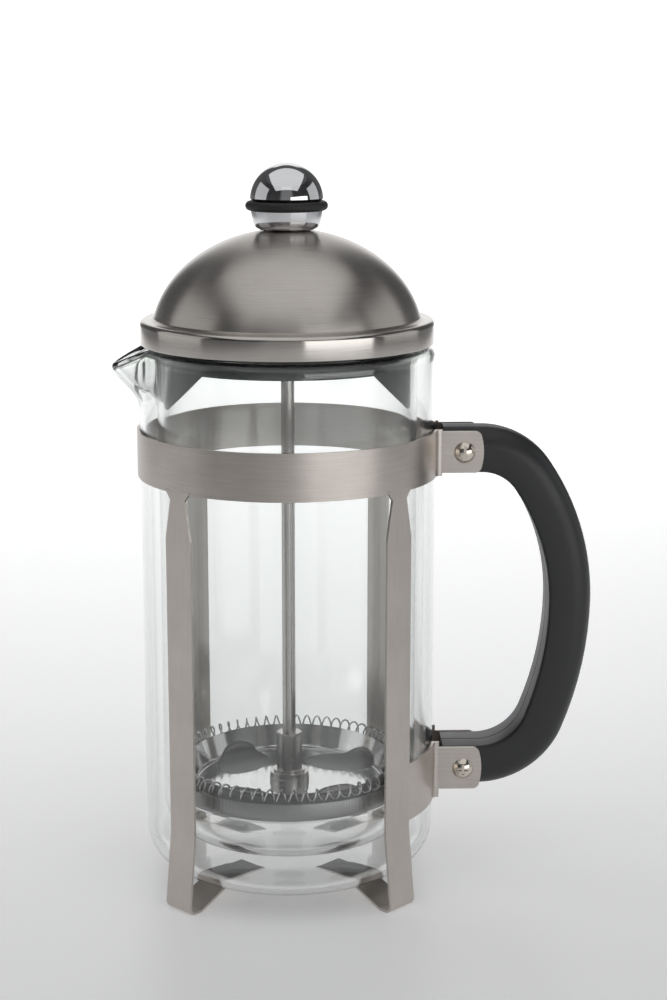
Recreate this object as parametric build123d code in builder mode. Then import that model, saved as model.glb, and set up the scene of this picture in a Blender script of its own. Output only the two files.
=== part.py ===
"""French press with a double-wall glass beaker in a one-piece stamped steel frame.

Axis of the beaker on Z, floor at Z = 0, handle towards +X, spout towards -X. Millimetres.
"""
from build123d import *
from math import cos, radians, sin, sqrt
import os

# ---- driving dimensions ---------------------------------------------------------------
# glass beaker: two walls fused at the rim, with an air gap between them
glass_r = 55.0
wall_t = 2.2
bore_r = 46.0
base_z = 6.4
outer_corner_r = 16.0
floor_z = 22.0
inner_corner_r = 12.0
rim_z = 206.6
rim_t = 3.2
rim_fillet = 2.0
rim_outer_fillet = 3.0

# spout and its pouring channel: U-shaped sections given as
# distance from the axis, half width, top height and depth
spout_sections = [(47.0, 19.0, 206.6, 21.0), (57.0, 11.5, 206.2, 15.6), (65.4, 2.6, 200.8, 4.4)]
channel_sections = [(44.0, 16.5, 213.0, 25.0), (57.0, 9.3, 212.0, 19.0), (67.0, 1.2, 204.0, 5.4)]

# stamped frame
sheet_t = 0.9
frame_r = glass_r + 0.1
band_z0 = 158.0
band_z1 = 175.3
strap_z0 = 32.4
strap_z1 = 54.5
strap_half_angle = 49.0
leg_w = 12.8
neck_w = 7.4
neck_z = 155.5
taper_z = 141.0
leg_count = 4
leg_lap = 1.0
flare_z = 30.0
flare_bend_r = 20.0
foot_r = 58.6
foot_land = 5.5
foot_bend_r = 2.4
tab_r = 20.0
tab_knee_r = 41.0

# handle in two moulded halves, clamped between the ears of the frame
handle_w = 19.0
ear_y = handle_w / 2 + 0.1
ear_bend_r = 2.0
ear_corner_r = 2.5
ear_crown = 1.4
ear_root_x = 57.0
upper_ear = (72.4, 159.1, 174.7)
lower_ear = (73.3, 35.7, 52.3)
upper_screw = (65.3, 166.7)
lower_screw = (66.2, 43.8)
upper_tang = (57.8, 159.1, 175.3)
lower_tang = (58.6, 35.0, 52.4)
grip_x = 72.0
grip_z = 167.2
# the grip's centre line as tangent arcs from the upper ear: radius and clockwise turn in degrees
grip_arcs = [(23.5, 55.5), (85.0, 34.7), (130.0, 21.5), (27.0, 68.3)]
grip_lap = 1.0
grip_depth = 16.6
grip_back_fillet = 7.5
grip_front_fillet = 1.2

# handle screws and their barrel nuts
head_r = 4.0
head_h = 2.2
slot_w = 0.9
slot_depth = 1.0
shank_r = 2.0
shank_play = 0.1
barrel_r = 2.6
barrel_l = 9.0

# lid: spun steel dome, plastic strainer and guide bushing
lid_gap = 0.3
skirt_r = 54.4
skirt_z = rim_z + lid_gap
ledge_z = 215.6
skirt_bend_r = 1.8
lid_t = 0.8
dome_a = 50.2
dome_b = 40.2
dome_z = 208.2
dome_root_gap = 0.4
dome_root_fillet = 0.8
dome_knots = (46.4, 36.7, 22.0)
strainer_r = 45.6
strainer_t = 1.6
strainer_z = 199.3
strainer_ledge_t = 1.4
strainer_lip_r = 38.0
strainer_lip_z = 203.0
flap_z = 184.6
flap_root_x = 29.3
flap_tip_x = 43.6
drain_count = 7
drain_w = 1.8
drain_pitch = 4.0
drain_z0 = 188.0
drain_z1 = 201.0
bushing_r = 5.4
bushing_z0 = 238.0
bushing_z1 = 249.4
bushing_flange_r = 9.0
bushing_flange_z = 244.6
bushing_flange_t = 2.0
clip_r = 8.0
clip_t = 0.9
sheet_chamfer = 0.2
running_gap = 0.06

# plunger: knob, rod and filter pack
rod_r = 2.5
stud_r = 2.0
rod_z0 = 33.4
rod_z1 = 260.0
lower_shoulder_z = 45.0
upper_shoulder_z = 250.6
insert_r = 4.5
insert_top_z = 260.4
knob_r = 13.5
knob_z = 258.7
knob_foot_z = 248.1
knob_foot_r = 10.4
knob_recess_r = 8.6
knob_recess_z = 250.4
knob_belly = (12.35, 250.9)
knob_shoulder = (13.3, 255.0)
ring_r = 13.35
ring_cord_r = 1.75
ring_z = 256.7
boss_r = 5.0
boss_z0 = 32.0
cross_z = 35.2
cross_r = 42.6
cross_hole_r = 6.5
cross_hole_rings = ((8, 32.0), (4, 16.0))
mesh_z = 36.0
mesh_t = 0.4
mesh_r = 45.4
mesh_bend_r = 3.0
mesh_top_z = 43.6
plate_t = 0.6
plate_flat_r = 36.4
plate_edge_r = 40.3
plate_edge_rise = 9.1
plate_bend_r = 2.5
window_x = 19.9
window_y = 18.5
window_turn = -16.0
window_l = 29.6
window_w = 20.0
window_count = 4
washer_r = 7.6
washer_t = 1.9
hub_flange_r = 7.4
hub_flange_t = 1.9
hub_ring_r = 6.0
hub_ring_t = 0.8
hub_r = 4.85
hub_top_z = 56.3
hub_chamfer = 0.4
spring_r = 43.25
coil_r = 2.35
spring_z = 46.1

# how far a cutting shape reaches past what it cuts
reach = 2.0

os.makedirs("parts", exist_ok=True)


def save(builder, name):
    """Label a finished piece and write its STEP file."""
    builder.part.label = name
    export_step(builder.part, f"parts/{name}.step")


def half_section(points, corners=()):
    """Closed half section of a round part, with its corners rounded as (radius, height, fillet)."""
    with BuildSketch(Plane.XZ) as section:
        with BuildLine():
            Polyline(*points, close=True)
        make_face()
        for corner_x, corner_z, corner_fillet in corners:
            nearest = section.vertices().sort_by_distance(Vector(corner_x, corner_z, 0))[0]
            fillet(nearest, corner_fillet)
    return section.sketch


def side_box(x0, z0, x1, z1):
    """Rectangle in the side view, by two corners."""
    with BuildSketch(Plane.XZ) as box:
        with Locations((x0, z0)):
            Rectangle(x1 - x0, z1 - z0, align=(Align.MIN, Align.MIN))
    return box.sketch


def disc(radius, height):
    """Circle on the beaker's axis at a height."""
    with BuildSketch(Plane.XY.offset(height)) as circle:
        Circle(radius)
    return circle.sketch


# ---- glass beaker -----------------------------------------------------------------------
def u_section(distance, half_width, top, depth):
    """U-shaped section across the spout, at a distance from the axis towards -X."""
    with BuildSketch(Plane.YZ.offset(-distance)) as section:
        with BuildLine():
            EllipticalCenterArc((0, top), half_width, depth, start_angle=180, arc_size=180)
            Line((half_width, top), (-half_width, top))
        make_face()
    return section.sketch


with BuildPart() as channel:
    loft(sections=[u_section(*section) for section in channel_sections])

gap_outer_r = glass_r - wall_t
gap_inner_r = bore_r + wall_t

with BuildPart() as spout:
    loft(sections=[u_section(*section) for section in spout_sections])
    extrude(disc(gap_inner_r, base_z), amount=rim_z, mode=Mode.SUBTRACT)
    extrude(disc(gap_outer_r, rim_z - rim_t), amount=rim_t, mode=Mode.SUBTRACT)
    extrude(disc(2 * glass_r, rim_z), amount=rim_t, mode=Mode.SUBTRACT)

with BuildPart() as glass_outer_wall:
    revolve(
        half_section(
            [(0, base_z), (glass_r, base_z), (glass_r, rim_z), (0, rim_z)],
            [(glass_r, base_z, outer_corner_r), (glass_r, rim_z, rim_outer_fillet)],
        ),
        axis=Axis.Z,
    )
    revolve(
        half_section(
            [(0, base_z + wall_t), (gap_outer_r, base_z + wall_t), (gap_outer_r, rim_z), (0, rim_z)],
            [(gap_outer_r, base_z + wall_t, outer_corner_r - wall_t)],
        ),
        axis=Axis.Z,
        mode=Mode.SUBTRACT,
    )
    add(spout.part)
    add(channel.part, mode=Mode.SUBTRACT)
save(glass_outer_wall, "glass_outer_wall")

with BuildPart() as glass_inner_wall:
    revolve(
        half_section(
            [
                (0, floor_z - wall_t),
                (gap_inner_r, floor_z - wall_t),
                (gap_inner_r, rim_z - rim_t),
                (gap_outer_r, rim_z - rim_t),
                (gap_outer_r, rim_z),
                (bore_r, rim_z),
                (bore_r, floor_z),
                (0, floor_z),
            ],
            [
                (gap_inner_r, floor_z - wall_t, inner_corner_r + wall_t),
                (bore_r, rim_z, rim_fillet),
                (bore_r, floor_z, inner_corner_r),
            ],
        ),
        axis=Axis.Z,
    )
    add(channel.part, mode=Mode.SUBTRACT)
save(glass_inner_wall, "glass_inner_wall")


# ---- frame ------------------------------------------------------------------------------
def strap_plan(height, ear_end_x):
    """Plan of a strap round the glass whose two ends bend out into parallel ears."""
    root_x = sqrt(frame_r**2 - ear_y**2)
    with BuildSketch(Plane.XY.offset(height)) as plan:
        Circle(frame_r + sheet_t)
        Circle(frame_r, mode=Mode.SUBTRACT)
        with Locations((frame_r, 0)):
            Rectangle(frame_r, 2 * ear_y, mode=Mode.SUBTRACT)
        for side in (-1, 1):
            with Locations((root_x, side * (ear_y + sheet_t / 2))):
                Rectangle(ear_end_x - root_x, sheet_t, align=(Align.MIN, Align.CENTER))
            bend_x = sqrt((frame_r + sheet_t) ** 2 - (ear_y + sheet_t) ** 2)
            bend = plan.vertices().sort_by_distance(Vector(bend_x, side * (ear_y + sheet_t), 0))[0]
            fillet(bend, ear_bend_r)
    return plan.sketch


def ear_outline(end_x, low, high):
    """Side view of an ear: a rectangle with a crowned end and rounded corners."""
    corner_x = end_x - ear_crown
    with BuildSketch(Plane.XZ) as outline:
        with BuildLine():
            Polyline((corner_x, high), (ear_root_x, high), (ear_root_x, low), (corner_x, low))
            ThreePointArc((corner_x, low), (end_x, (low + high) / 2), (corner_x, high))
        make_face()
        for corner_z in (low, high):
            corner = outline.vertices().sort_by_distance(Vector(corner_x, corner_z, 0))[0]
            fillet(corner, ear_corner_r)
    return outline.sketch


def ear_waste(low, high, ear):
    """What is cut away round the ears of a strap: a block less their outline."""
    end_x, ear_low, ear_high = ear
    block = side_box(ear_root_x, low - reach, end_x + 2 * reach, high + reach)
    with BuildPart() as waste:
        extrude(block, amount=2 * handle_w, both=True)
        kept = ear_outline(end_x, ear_low, ear_high)
        extrude(kept, amount=2 * handle_w, both=True, mode=Mode.SUBTRACT)
    return waste.part


def strap(low, high, ear):
    """A strap with its ears trimmed to their outline."""
    waste = ear_waste(low, high, ear)
    with BuildPart() as piece:
        extrude(strap_plan(low, ear[0] + reach), amount=high - low)
        add(waste, mode=Mode.SUBTRACT)
    return piece.part


leg_mid_r = frame_r + sheet_t / 2
tab_z = base_z - sheet_t / 2
with BuildPart() as leg:
    with BuildSketch(Plane.XZ):
        with BuildLine():
            FilletPolyline(
                (leg_mid_r, band_z0 + leg_lap),
                (leg_mid_r, flare_z),
                (foot_r, sheet_t / 2),
                (foot_r - foot_land, sheet_t / 2),
                (tab_knee_r, tab_z),
                (tab_r, tab_z),
                radius=[flare_bend_r, foot_bend_r, foot_bend_r, foot_bend_r],
            )
        trace(line_width=sheet_t)
    extrude(amount=leg_w / 2, both=True)
    with BuildSketch(Plane.YZ) as leg_outline:
        with BuildLine():
            Polyline(
                (-leg_w / 2, -reach),
                (-leg_w / 2, taper_z),
                (-neck_w / 2, neck_z),
                (-leg_w / 2, band_z0 + leg_lap),
                (leg_w / 2, band_z0 + leg_lap),
                (neck_w / 2, neck_z),
                (leg_w / 2, taper_z),
                (leg_w / 2, -reach),
                close=True,
            )
        make_face()
    extrude(amount=2 * glass_r, mode=Mode.INTERSECT)

# the lower strap only runs round the handle side, between two legs
wedge_x = 2 * glass_r * cos(radians(strap_half_angle))
wedge_y = 2 * glass_r * sin(radians(strap_half_angle))
with BuildPart() as lower_strap:
    with BuildSketch(Plane.XY.offset(strap_z0)):
        with BuildLine():
            Polyline((0, 0), (wedge_x, wedge_y), (3 * glass_r, 0), (wedge_x, -wedge_y), close=True)
        make_face()
    extrude(amount=strap_z1 - strap_z0)
    add(strap(strap_z0, strap_z1, lower_ear), mode=Mode.INTERSECT)

with BuildPart() as frame:
    add(strap(band_z0, band_z1, upper_ear))
    add(lower_strap.part)
    with PolarLocations(0, leg_count, start_angle=45):
        add(leg.part)
    for screw_x, screw_z in (upper_screw, lower_screw):
        with BuildSketch(Plane.XZ):
            with Locations((screw_x, screw_z)):
                Circle(shank_r + shank_play)
        extrude(amount=handle_w, mode=Mode.SUBTRACT)
        with BuildSketch(Plane.XZ):
            with Locations((screw_x, screw_z)):
                Circle(barrel_r + shank_play)
        extrude(amount=-handle_w, mode=Mode.SUBTRACT)
save(frame, "frame")

# ---- handle -----------------------------------------------------------------------------
with BuildPart() as handle:
    with BuildLine(Plane.XZ) as grip_line:
        arc_start = (grip_x, grip_z)
        heading = 0
        for arc_radius, arc_turn in grip_arcs:
            along = (cos(radians(heading)), sin(radians(heading)))
            arc = JernArc(arc_start, along, arc_radius, -arc_turn)
            arc_start = arc @ 1
            heading -= arc_turn
        Line(arc_start, arc_start - Vector(grip_lap, 0, 0))
    with BuildSketch(Plane.YZ.offset(grip_x)) as grip_section:
        with Locations((0, grip_z)):
            Rectangle(handle_w, grip_depth)
        fillet(grip_section.vertices().group_by(Axis.Y)[-1], grip_back_fillet)
        fillet(grip_section.vertices().group_by(Axis.Y)[0], grip_front_fillet)
    sweep(path=grip_line.wires()[0])
    for tang_x, tang_low, tang_high in (upper_tang, lower_tang):
        extrude(side_box(tang_x, tang_low, grip_x, tang_high), amount=handle_w / 2, both=True)
    for screw_x, screw_z in (upper_screw, lower_screw):
        with BuildSketch(Plane.XZ):
            with Locations((screw_x, screw_z)):
                Circle(shank_r + shank_play)
        extrude(amount=handle_w, both=True, mode=Mode.SUBTRACT)
        with BuildSketch(Plane.XZ.offset(-handle_w / 2)):
            with Locations((screw_x, screw_z)):
                Circle(barrel_r + shank_play)
        extrude(amount=barrel_l + shank_play, mode=Mode.SUBTRACT)

for name, kept in (("handle_front_half", Keep.BOTTOM), ("handle_rear_half", Keep.TOP)):
    with BuildPart() as half:
        add(handle.part)
        split(bisect_by=Plane.ZX, keep=kept)
    save(half, name)

# ---- screws and barrel nuts ---------------------------------------------------------------
# each screw enters from the front and is met by a barrel nut from the rear
face_y = ear_y + sheet_t


def domed_head(at_x, at_z, outward):
    """Low dome of a screw or nut head, standing on the outer face of an ear."""
    dome_r = (head_r**2 + head_h**2) / (2 * head_h)
    with BuildPart() as head:
        with BuildSketch(Plane.XZ.offset(-outward * face_y)):
            with Locations((at_x, at_z)):
                Circle(head_r)
        extrude(amount=-outward * head_h)
        with Locations((at_x, outward * (face_y + head_h - dome_r), at_z)):
            Sphere(dome_r, mode=Mode.INTERSECT)
    return head.part


for place, (screw_x, screw_z), slots in (("upper", upper_screw, 1), ("lower", lower_screw, 2)):
    with BuildPart() as screw:
        add(domed_head(screw_x, screw_z, -1))
        with BuildSketch(Plane.XZ.offset(face_y)):
            with Locations((screw_x, screw_z)):
                Circle(shank_r)
        extrude(amount=-(face_y + ear_y - shank_play))
        with BuildSketch(Plane.XZ.offset(face_y + head_h)):
            for turn in range(slots):
                with Locations(Location((screw_x, screw_z, 0), 90 + 90 * turn)):
                    Rectangle(2 * head_r if slots == 1 else head_r, slot_w)
        extrude(amount=-slot_depth, mode=Mode.SUBTRACT)
    save(screw, f"{place}_screw")

    with BuildPart() as nut:
        add(domed_head(screw_x, screw_z, 1))
        with BuildSketch(Plane.XZ.offset(-face_y)):
            with Locations((screw_x, screw_z)):
                Circle(barrel_r)
        extrude(amount=barrel_l)
        with BuildSketch(Plane.XZ.offset(-face_y + barrel_l)):
            with Locations((screw_x, screw_z)):
                Circle(shank_r)
        extrude(amount=-barrel_l - shank_play, mode=Mode.SUBTRACT)
    save(nut, f"{place}_barrel_nut")

# ---- lid ----------------------------------------------------------------------------------
def dome_line(outer_a, outer_b, inset):
    """Points of the dome's ellipse from its root to the bushing hole, at one face of the sheet."""
    radii = [r - inset for r in dome_knots] + [bushing_r + running_gap]
    return [(r, dome_z + outer_b * sqrt(1 - (r / outer_a) ** 2)) for r in radii]


outer_root = (dome_a - dome_root_gap, ledge_z)
inner_root = (dome_a - lid_t - dome_root_gap, ledge_z - lid_t)
skirt_in_r = skirt_r - lid_t
with BuildPart() as lid_dome:
    with BuildSketch(Plane.XZ) as lid_section:
        with BuildLine():
            Polyline(inner_root, (skirt_in_r, ledge_z - lid_t), (skirt_in_r, skirt_z), (skirt_r, skirt_z))
            Polyline((skirt_r, skirt_z), (skirt_r, ledge_z), outer_root)
            outer = Spline(outer_root, *dome_line(dome_a, dome_b, 0))
            inner = Spline(inner_root, *dome_line(dome_a - lid_t, dome_b - lid_t, lid_t))
            Line(outer @ 1, inner @ 1)
        make_face()
        for corner_x, corner_z, corner_fillet in (
            (skirt_r, ledge_z, skirt_bend_r),
            (skirt_in_r, ledge_z - lid_t, skirt_bend_r - lid_t),
            (*outer_root, dome_root_fillet),
        ):
            fillet(lid_section.vertices().sort_by_distance(Vector(corner_x, corner_z, 0))[0], corner_fillet)
    revolve(axis=Axis.Z)
save(lid_dome, "lid_dome")

with BuildPart() as lid_strainer:
    strainer_in_r = strainer_r - strainer_t
    strainer_top_z = skirt_z + strainer_ledge_t
    revolve(
        half_section(
            [
                (strainer_r, flap_z),
                (strainer_r, skirt_z),
                (skirt_in_r, skirt_z),
                (skirt_in_r, strainer_top_z),
                (strainer_in_r, strainer_top_z),
                (strainer_in_r, strainer_lip_z + strainer_ledge_t),
                (strainer_lip_r, strainer_lip_z + strainer_ledge_t),
                (strainer_lip_r, strainer_lip_z),
                (strainer_in_r, strainer_lip_z),
                (strainer_in_r, flap_z),
            ]
        ),
        axis=Axis.Z,
    )
    with BuildSketch(Plane.XZ):
        with BuildLine():
            Polyline(
                (-flap_root_x, strainer_z),
                (flap_root_x, strainer_z),
                (flap_tip_x, flap_z - reach),
                (-flap_tip_x, flap_z - reach),
                close=True,
            )
        make_face()
    extrude(amount=glass_r, both=True, mode=Mode.SUBTRACT)
    with BuildSketch(Plane.YZ.offset(-glass_r)):
        with Locations((0, (drain_z0 + drain_z1) / 2)):
            with GridLocations(drain_pitch, 0, drain_count, 1):
                SlotOverall(drain_z1 - drain_z0, drain_w, rotation=90)
    extrude(amount=glass_r, mode=Mode.SUBTRACT)
save(lid_strainer, "lid_strainer")

guide_r = rod_r + running_gap
with BuildPart() as lid_bushing:
    revolve(
        half_section(
            [
                (guide_r, bushing_z0),
                (bushing_r, bushing_z0),
                (bushing_r, bushing_flange_z),
                (bushing_flange_r, bushing_flange_z),
                (bushing_flange_r, bushing_flange_z + bushing_flange_t),
                (bushing_r, bushing_flange_z + bushing_flange_t),
                (bushing_r, bushing_z1),
                (guide_r, bushing_z1),
            ]
        ),
        axis=Axis.Z,
    )
save(lid_bushing, "lid_bushing")

with BuildPart() as bushing_clip:
    extrude(disc(clip_r, bushing_z1 - clip_t), amount=clip_t)
    extrude(disc(bushing_r + running_gap, bushing_z1 - clip_t), amount=clip_t, mode=Mode.SUBTRACT)
    chamfer(bushing_clip.edges().group_by(Axis.Z)[-1], sheet_chamfer)
save(bushing_clip, "bushing_clip")

# ---- plunger ------------------------------------------------------------------------------
with BuildPart() as knob_ring:
    with BuildSketch(Plane.XZ) as cord:
        with Locations((ring_r, ring_z)):
            Circle(ring_cord_r)
    revolve(axis=Axis.Z)
save(knob_ring, "knob_ring")

with BuildPart() as knob:
    with BuildSketch(Plane.XZ):
        with BuildLine():
            Polyline((0, knob_recess_z), (knob_recess_r, knob_recess_z), (knob_recess_r, knob_foot_z))
            Line((knob_recess_r, knob_foot_z), (knob_foot_r, knob_foot_z))
            ThreePointArc((knob_foot_r, knob_foot_z), knob_belly, knob_shoulder)
            Line(knob_shoulder, (knob_r, knob_z))
            CenterArc((0, knob_z), knob_r, 0, 90)
            Line((0, knob_z + knob_r), (0, knob_recess_z))
        make_face()
    revolve(axis=Axis.Z)
    add(knob_ring.part, mode=Mode.SUBTRACT)
    extrude(disc(insert_r, knob_recess_z), amount=insert_top_z - knob_recess_z, mode=Mode.SUBTRACT)
save(knob, "knob")

with BuildPart() as knob_insert:
    extrude(disc(insert_r, upper_shoulder_z), amount=insert_top_z - upper_shoulder_z)
    extrude(disc(stud_r, upper_shoulder_z), amount=insert_top_z - upper_shoulder_z, mode=Mode.SUBTRACT)
save(knob_insert, "knob_insert")

with BuildPart() as plunger_rod:
    extrude(disc(stud_r, rod_z0), amount=rod_z1 - rod_z0)
    extrude(disc(rod_r, lower_shoulder_z), amount=upper_shoulder_z - lower_shoulder_z)
save(plunger_rod, "plunger_rod")

plate_z = mesh_z + mesh_t
washer_z = plate_z + plate_t
hub_z = washer_z + washer_t
with BuildPart() as rod_hub:
    extrude(disc(hub_flange_r, hub_z), amount=hub_flange_t)
    extrude(disc(hub_ring_r, hub_z), amount=hub_flange_t + hub_ring_t)
    extrude(disc(hub_r, hub_z), amount=hub_top_z - hub_z)
    chamfer(rod_hub.edges().group_by(Axis.Z)[-1], hub_chamfer)
    extrude(disc(stud_r, hub_z), amount=lower_shoulder_z - hub_z, mode=Mode.SUBTRACT)
    extrude(disc(rod_r, lower_shoulder_z), amount=hub_top_z - lower_shoulder_z, mode=Mode.SUBTRACT)
save(rod_hub, "rod_hub")

with BuildPart() as hub_washer:
    extrude(disc(washer_r, washer_z), amount=washer_t)
    extrude(disc(stud_r, washer_z), amount=washer_t, mode=Mode.SUBTRACT)
    chamfer(hub_washer.edges().group_by(Axis.Z)[-1], sheet_chamfer)
save(hub_washer, "hub_washer")

# the plate's windows are lenses, each the overlap of two circles
window_r = (window_l**2 + window_w**2) / (4 * window_w)
with BuildSketch() as window:
    with Locations((0, window_r - window_w / 2)):
        Circle(window_r)
    with Locations((0, window_w / 2 - window_r)):
        Circle(window_r, mode=Mode.INTERSECT)

plate_mid_z = plate_z + plate_t / 2
plate_line = [
    (stud_r, plate_mid_z),
    (plate_flat_r, plate_mid_z),
    (plate_edge_r, plate_mid_z + plate_edge_rise),
]
with BuildPart() as spring_plate:
    with BuildSketch(Plane.XZ):
        with BuildLine():
            FilletPolyline(*plate_line, radius=plate_bend_r)
        trace(line_width=plate_t)
    revolve(axis=Axis.Z)
    with BuildSketch(Plane.XY.offset(plate_z)):
        with PolarLocations(0, window_count):
            with Locations(Location((window_x, window_y, 0), window_turn)):
                add(window.sketch)
    extrude(amount=2 * plate_edge_rise, mode=Mode.SUBTRACT)
save(spring_plate, "spring_plate")

with BuildPart() as edge_spring:
    with BuildSketch(Plane.XZ):
        with Locations((spring_r, spring_z)):
            Circle(coil_r)
    revolve(axis=Axis.Z)
save(edge_spring, "edge_spring")

with BuildPart() as mesh_screen:
    revolve(
        half_section(
            [
                (stud_r, mesh_z),
                (mesh_r, mesh_z),
                (mesh_r, mesh_top_z),
                (mesh_r - mesh_t, mesh_top_z),
                (mesh_r - mesh_t, plate_z),
                (stud_r, plate_z),
            ],
            [(mesh_r, mesh_z, mesh_bend_r + mesh_t), (mesh_r - mesh_t, plate_z, mesh_bend_r)],
        ),
        axis=Axis.Z,
    )
save(mesh_screen, "mesh_screen")

with BuildPart() as cross_plate:
    extrude(disc(cross_r, cross_z), amount=mesh_z - cross_z)
    with BuildSketch(Plane.XY.offset(cross_z)):
        Circle(stud_r)
        for hole_count, hole_ring_r in cross_hole_rings:
            with PolarLocations(hole_ring_r, hole_count):
                Circle(cross_hole_r)
    extrude(amount=mesh_z - cross_z, mode=Mode.SUBTRACT)
save(cross_plate, "cross_plate")

with BuildPart() as filter_nut:
    with BuildSketch(Plane.XY.offset(boss_z0)):
        RegularPolygon(boss_r, 6)
    extrude(amount=cross_z - boss_z0)
    extrude(disc(stud_r, rod_z0), amount=cross_z - rod_z0, mode=Mode.SUBTRACT)
save(filter_nut, "filter_nut")
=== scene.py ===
"""Coffee press with a double-wall glass beaker, a stamped steel frame and a domed lid.

Metres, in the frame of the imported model: the beaker's axis on Z, floor at Z = 0, handle towards +X.
"""

from math import atan2, cos, pi, radians, sin, sqrt

import bpy
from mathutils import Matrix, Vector


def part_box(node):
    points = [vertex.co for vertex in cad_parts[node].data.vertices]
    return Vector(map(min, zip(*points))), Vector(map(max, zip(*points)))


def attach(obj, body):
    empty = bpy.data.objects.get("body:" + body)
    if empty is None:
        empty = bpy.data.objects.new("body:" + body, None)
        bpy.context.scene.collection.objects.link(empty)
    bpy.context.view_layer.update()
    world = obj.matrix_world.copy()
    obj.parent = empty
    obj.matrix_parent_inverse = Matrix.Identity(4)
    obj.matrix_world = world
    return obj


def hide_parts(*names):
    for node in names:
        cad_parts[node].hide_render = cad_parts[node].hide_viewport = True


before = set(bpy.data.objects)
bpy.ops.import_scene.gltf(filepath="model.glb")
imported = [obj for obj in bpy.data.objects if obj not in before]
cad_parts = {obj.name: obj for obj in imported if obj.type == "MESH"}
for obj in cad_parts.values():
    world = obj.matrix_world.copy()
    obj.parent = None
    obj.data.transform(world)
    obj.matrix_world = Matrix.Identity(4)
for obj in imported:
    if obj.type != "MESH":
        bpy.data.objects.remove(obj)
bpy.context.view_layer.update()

# ---- table, light and camera ------------------------------------------------------------
# A round sheet of board that curves up into a wall all round: pale on the floor, with the wall above painted dark grey
# as painted shade of the unlit room. It is lit by large soft boxes above, at both sides and at the right front, and it
# also glows with painted light that gets lighter towards the back.
mm = 0.001
scene = bpy.context.scene
scene.view_settings.view_transform = "Standard"
scene.cycles.max_bounces = 32
scene.cycles.transmission_bounces = 32
scene.cycles.glossy_bounces = 8

board_flat_r = 1.9
board_bend_r = 0.6
board_height = 2.6
board_steps = 96


def arc(centre_r, centre_z, radius, start, end, steps):
    """Points of an arc in the half section, angles in degrees from the outward direction."""
    angles = [radians(start + (end - start) * step / steps) for step in range(steps + 1)]
    return [(centre_r + radius * cos(a), centre_z + radius * sin(a)) for a in angles]


def straight(r, z0, z1, steps):
    """Evenly spaced points up or down a cylinder, without its two ends."""
    return [(r, z0 + (z1 - z0) * step / steps) for step in range(1, steps)]


def lathe(name, outline, steps=192, sharp=35, inward=False):
    """Turn an outline of (radius, height) points about the beaker's axis."""
    bpy.ops.object.select_all(action="DESELECT")
    bpy.ops.mesh.primitive_plane_add(size=mm)
    turned = bpy.context.object
    turned.name = name
    bpy.ops.object.mode_set(mode="EDIT")
    bpy.ops.mesh.select_mode(type="VERT")
    bpy.ops.mesh.merge(type="CENTER")
    bpy.ops.transform.translate(value=(outline[0][0], 0, outline[0][1]))
    for (r0, z0), (r1, z1) in zip(outline, outline[1:]):
        bpy.ops.mesh.extrude_region_move(TRANSFORM_OT_translate={"value": (r1 - r0, 0, z1 - z0)})
    bpy.ops.mesh.select_all(action="SELECT")
    bpy.ops.mesh.spin(steps=steps, angle=2 * pi, center=(0, 0, 0), axis=(0, 0, 1))
    bpy.ops.mesh.select_all(action="SELECT")
    bpy.ops.mesh.remove_doubles(threshold=0.002 * mm)
    bpy.ops.mesh.normals_make_consistent(inside=inward)
    bpy.ops.object.mode_set(mode="OBJECT")
    bpy.ops.object.shade_smooth_by_angle(angle=radians(sharp))
    return turned


board_line = [(0, 0), (board_flat_r / 2, 0)]
board_line += arc(board_flat_r, board_bend_r, board_bend_r, -90, 0, 20)
board_line += [(board_flat_r + board_bend_r, board_height)]
backdrop = lathe("backdrop", board_line, steps=board_steps, inward=True)


def new_material(name):
    """An empty node material: its node tree, a function that adds nodes, and its surface shader."""
    made = bpy.data.materials.new(name)
    made.use_nodes = True
    tree = made.node_tree
    return made, tree, tree.nodes["Principled BSDF"]


def add_node(tree, kind, **values):
    """Add a node, with its settings and the values of its input sockets by name."""
    node = tree.nodes.new(kind)
    for name, value in values.items():
        if hasattr(node, name):
            setattr(node, name, value)
        else:
            node.inputs[name.replace("_", " ")].default_value = value
    return node


def calculate(tree, operation, first, second=None, third=None):
    """Add a Math node on sockets or plain numbers and return its result."""
    node = tree.nodes.new("ShaderNodeMath")
    node.operation = operation
    for place, value in enumerate((first, second, third)):
        if value is None:
            continue
        if isinstance(value, (int, float)):
            node.inputs[place].default_value = value
        else:
            tree.links.new(value, node.inputs[place])
    return node.outputs[0]


board, board_tree, board_shader = new_material("board_with_painted_glow_and_shade")
board_place = add_node(board_tree, "ShaderNodeTexCoord")
board_axes = add_node(board_tree, "ShaderNodeSeparateXYZ")
board_tree.links.new(board_place.outputs["Object"], board_axes.inputs[0])
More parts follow.
